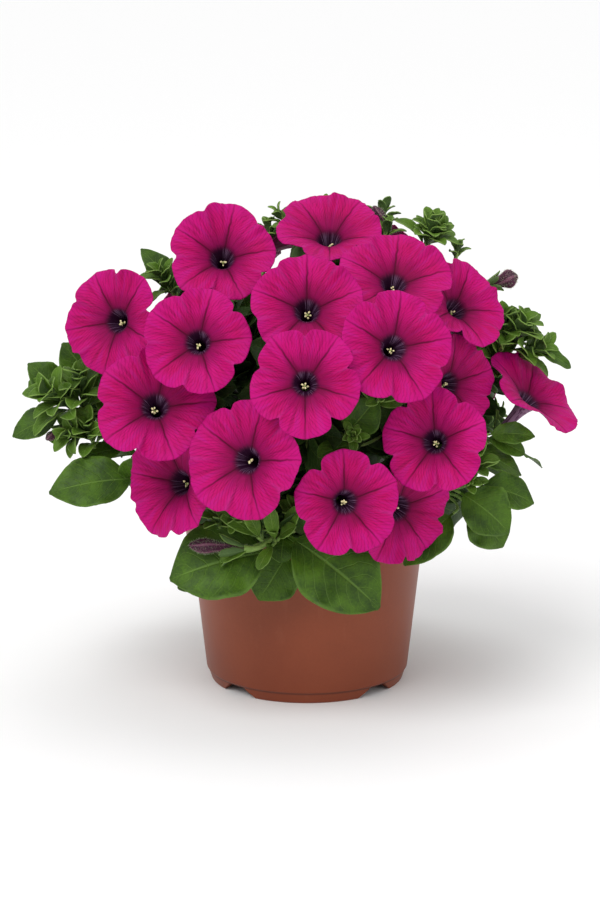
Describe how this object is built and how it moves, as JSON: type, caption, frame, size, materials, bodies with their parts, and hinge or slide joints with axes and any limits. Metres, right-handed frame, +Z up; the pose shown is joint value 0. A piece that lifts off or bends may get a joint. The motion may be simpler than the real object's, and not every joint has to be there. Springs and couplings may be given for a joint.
{
  "type": "potted petunia plant",
  "caption": "Bushy flowering petunia rooted in a round plastic nursery pot: trumpet flowers, leaves and leafy shoot tips on branching stems; stands on the pot's feet.",
  "frame": {"origin": "on the ground under the middle of the whole plant's bounding box; the pot's axis is 6 mm toward +X and 8 mm toward +Y of it", "axes": "+Z up along the pot's axis, -Y toward the fullest side of the plant, +X to that side's right"},
  "size_m": [0.3103, 0.2535, 0.2752],
  "materials": {
    "pot_plastic": "satin terracotta-coloured plastic",
    "peat_soil": "crumbly dark peat",
    "green_stem": "soft green stem with fine hairs",
    "magenta_petal": "velvety petal with darker veins",
    "green_leaf": "matte downy leaf",
    "young_leaf": "matte downy young leaf",
    "bud_skin": "dull furled petal"
  },
  "bodies": {
    "root": {"pot": "pot_plastic", "soil": "peat_soil", "stems": "green_stem", "corolla_01": "magenta_petal", "corolla_02": "magenta_petal", "corolla_03": "magenta_petal", "corolla_04": "magenta_petal", "corolla_05": "magenta_petal", "corolla_06": "magenta_petal", "corolla_07": "magenta_petal", "corolla_08": "magenta_petal", "corolla_09": "magenta_petal", "corolla_10": "magenta_petal", "corolla_11": "magenta_petal", "corolla_12": "magenta_petal", "corolla_13": "magenta_petal", "corolla_14": "magenta_petal", "corolla_15": "magenta_petal", "corolla_16": "magenta_petal", "corolla_17": "magenta_petal", "corolla_18": "magenta_petal", "corolla_19": "magenta_petal", "corolla_20": "magenta_petal", "corolla_21": "magenta_petal", "corolla_22": "magenta_petal", "corolla_23": "magenta_petal", "corolla_24": "magenta_petal", "corolla_25": "magenta_petal", "corolla_26": "magenta_petal", "corolla_27": "magenta_petal", "leaf_01": "green_leaf", "leaf_02": "green_leaf", "leaf_03": "green_leaf", "leaf_04": "green_leaf", "leaf_05": "green_leaf", "leaf_06": "green_leaf", "leaf_07": "green_leaf", "leaf_08": "green_leaf", "leaf_09": "green_leaf", "leaf_10": "green_leaf", "leaf_11": "green_leaf", "leaf_12": "green_leaf", "leaf_13": "green_leaf", "leaf_14": "green_leaf", "leaf_15": "green_leaf", "leaf_16": "green_leaf", "leaf_17": "green_leaf", "leaf_18": "green_leaf", "leaf_19": "green_leaf", "leaf_20": "green_leaf", "shoot_tip_1": "young_leaf", "shoot_tip_2": "young_leaf", "shoot_tip_3": "young_leaf", "shoot_tip_4": "young_leaf", "shoot_tip_5": "young_leaf", "shoot_tip_6": "young_leaf", "bud_1": "bud_skin", "bud_2": "bud_skin", "bud_3": "bud_skin"}
  },
  "joints": []
}
